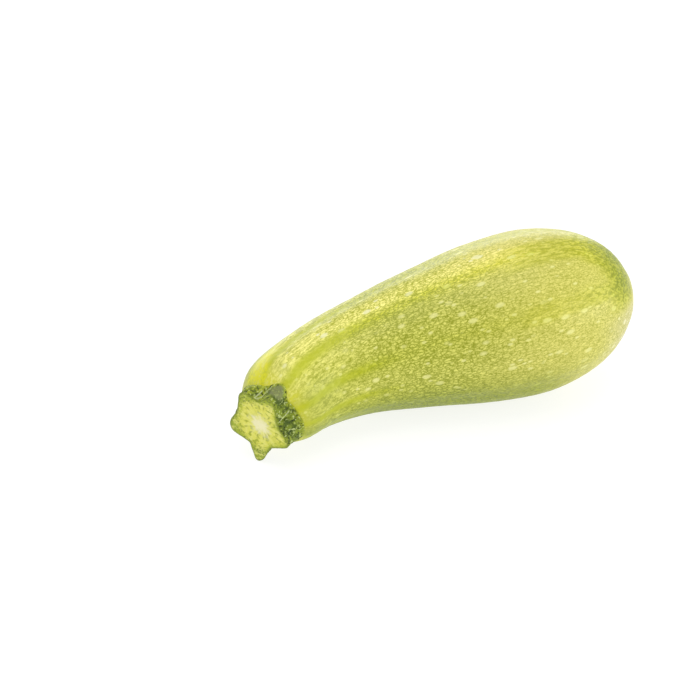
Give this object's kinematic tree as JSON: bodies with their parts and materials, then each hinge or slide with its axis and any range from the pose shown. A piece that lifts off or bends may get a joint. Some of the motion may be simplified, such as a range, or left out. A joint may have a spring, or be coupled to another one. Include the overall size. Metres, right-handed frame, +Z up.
{
  "type": "vegetable marrow",
  "caption": "Club-shaped pale green vegetable marrow with a bent neck, shallow ribs and a lobed, cut stem stump, lying on its belly.",
  "frame": {"origin": "on the surface that the marrow rests on, under the middle of its box", "axes": "+X along the marrow from its stem end to its blossom end, +Z up; the neck bends towards -Y"},
  "size_m": [0.179, 0.0732, 0.0698],
  "materials": {
    "fruit_skin": "satin, waxy, pale green skin with a fine net of darker green between pale flecks",
    "stem": "matt, rough, dark green sides and a moist, pale yellow-green cut face"
  },
  "bodies": {
    "root": {"fruit": "fruit_skin", "stem": "stem"}
  },
  "joints": []
}
